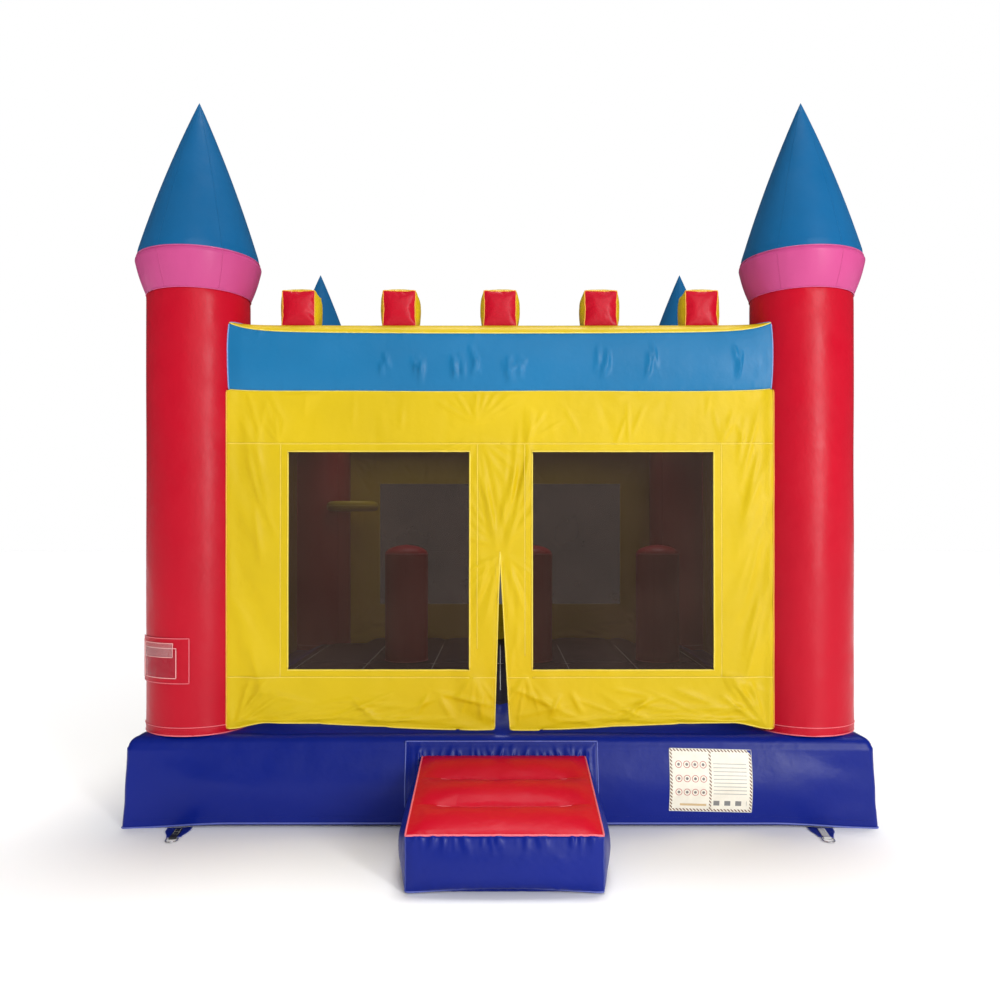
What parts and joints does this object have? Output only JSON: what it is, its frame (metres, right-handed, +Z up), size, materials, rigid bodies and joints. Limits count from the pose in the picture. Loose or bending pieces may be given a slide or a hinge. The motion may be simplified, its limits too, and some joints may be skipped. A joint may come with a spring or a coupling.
{
  "type": "inflatable bounce house",
  "caption": "Open-topped inflatable castle bounce house: square air base, round corner towers with cone tops, net windows, slit entrance and padded step.",
  "frame": {"origin": "centre of the square base on the ground, under the ground sheet", "axes": "+Z up; -Y towards the entrance and step; +X to the right seen from the entrance"},
  "size_m": [4.09, 5.1613, 4],
  "materials": {
    "vinyl_red": "satin",
    "vinyl_yellow": "satin",
    "vinyl_navy_blue": "satin",
    "vinyl_sky_blue": "satin",
    "vinyl_pink": "satin",
    "vinyl_clear": "gloss",
    "net_black": "matte",
    "cloth_inner": "matte",
    "print_cream": "satin",
    "webbing_black": "matte",
    "steel": "satin"
  },
  "bodies": {
    "structure": {"ground_sheet": "vinyl_navy_blue", "base_skirt": "vinyl_navy_blue", "bounce_floor": "vinyl_navy_blue", "floor_baffles": "cloth_inner", "column_front_left": "vinyl_red", "column_front_right": "vinyl_red", "column_back_left": "vinyl_red", "column_back_right": "vinyl_red", "collar_front_left": "vinyl_pink", "collar_front_right": "vinyl_pink", "collar_back_left": "vinyl_pink", "collar_back_right": "vinyl_pink", "cone_front_left": "vinyl_sky_blue", "cone_front_right": "vinyl_sky_blue", "cone_back_left": "vinyl_sky_blue", "cone_back_right": "vinyl_sky_blue", "beam_front": "vinyl_sky_blue", "beam_right": "vinyl_sky_blue", "beam_back": "vinyl_sky_blue", "beam_left": "vinyl_sky_blue", "merlon_1": "vinyl_red", "merlon_2": "vinyl_red", "merlon_3": "vinyl_red", "merlon_4": "vinyl_red", "merlon_5": "vinyl_red", "front_panel": "vinyl_yellow", "window_net_left": "net_black", "window_net_right": "net_black", "wall_panel_left": "vinyl_yellow", "wall_net_left": "net_black", "wall_panel_right": "vinyl_yellow", "wall_net_right": "net_black", "wall_panel_back": "vinyl_yellow", "wall_net_back": "net_black", "step_body": "vinyl_navy_blue", "step_tread": "vinyl_red", "step_apron": "vinyl_navy_blue", "anchor_tab_front_left": "vinyl_navy_blue", "anchor_tab_front_right": "vinyl_navy_blue", "anchor_tab_back_left": "vinyl_navy_blue", "anchor_tab_back_right": "vinyl_navy_blue", "pillar_left": "vinyl_red", "pillar_middle": "vinyl_red", "pillar_right": "vinyl_red", "hoop_ring": "vinyl_yellow", "info_panel": "print_cream", "document_pocket": "vinyl_red", "inflation_sleeve": "vinyl_navy_blue", "sleeve_strap": "webbing_black", "deflation_zipper": "webbing_black"},
    "flap_left": {"entrance_flap_left": "vinyl_yellow"},
    "flap_right": {"entrance_flap_right": "vinyl_yellow"},
    "pocket_cover": {"pocket_flap": "vinyl_clear"},
    "zip_slider": {"zipper_slider": "steel"},
    "zip_cover": {"zipper_cover": "vinyl_navy_blue"},
    "ring_front_left": {"anchor_ring_front_left": "steel"},
    "ring_front_right": {"anchor_ring_front_right": "steel"},
    "ring_back_left": {"anchor_ring_back_left": "steel"},
    "ring_back_right": {"anchor_ring_back_right": "steel"}
  },
  "joints": [
    {"name": "entrance_left_fold", "type": "hinge", "parent": "structure", "child": "flap_left", "pos_m": [0, -1.874, 1.476], "axis": [-0.2255, 0, -0.9742], "range_deg": [-95, 95]},
    {"name": "entrance_right_fold", "type": "hinge", "parent": "structure", "child": "flap_right", "pos_m": [0, -1.874, 1.476], "axis": [-0.2255, 0, 0.9742], "range_deg": [-95, 95]},
    {"name": "ring_front_left_hinge", "type": "hinge", "parent": "structure", "child": "ring_front_left", "pos_m": [-1.67704, -2.17439, 0.0067], "axis": [-0.9903, -0.1392, 0], "range_deg": [0, 150]},
    {"name": "ring_front_right_hinge", "type": "hinge", "parent": "structure", "child": "ring_front_right", "pos_m": [1.67704, -2.17439, 0.0067], "axis": [-0.9903, 0.1392, 0], "range_deg": [0, 150]},
    {"name": "ring_back_left_hinge", "type": "hinge", "parent": "structure", "child": "ring_back_left", "pos_m": [-1.67704, 2.17439, 0.0067], "axis": [0.9903, -0.1392, 0], "range_deg": [0, 150]},
    {"name": "ring_back_right_hinge", "type": "hinge", "parent": "structure", "child": "ring_back_right", "pos_m": [1.67704, 2.17439, 0.0067], "axis": [0.9903, 0.1392, 0], "range_deg": [0, 150]},
    {"name": "pocket_cover_fold", "type": "hinge", "parent": "structure", "child": "pocket_cover", "pos_m": [-1.84724, -1.94504, 0.979], "axis": [-0.8572, 0.515, 0], "range_deg": [0, 140]},
    {"name": "zip_slide", "type": "slide", "parent": "structure", "child": "zip_slider", "axis": [-1, 0, 0], "range_m": [0, 0.54]},
    {"name": "zip_cover_fold", "type": "hinge", "parent": "structure", "child": "zip_cover", "pos_m": [0.85, 1.97855, 0.29422], "axis": [1, 0, 0], "range_deg": [0, 90]}
  ]
}
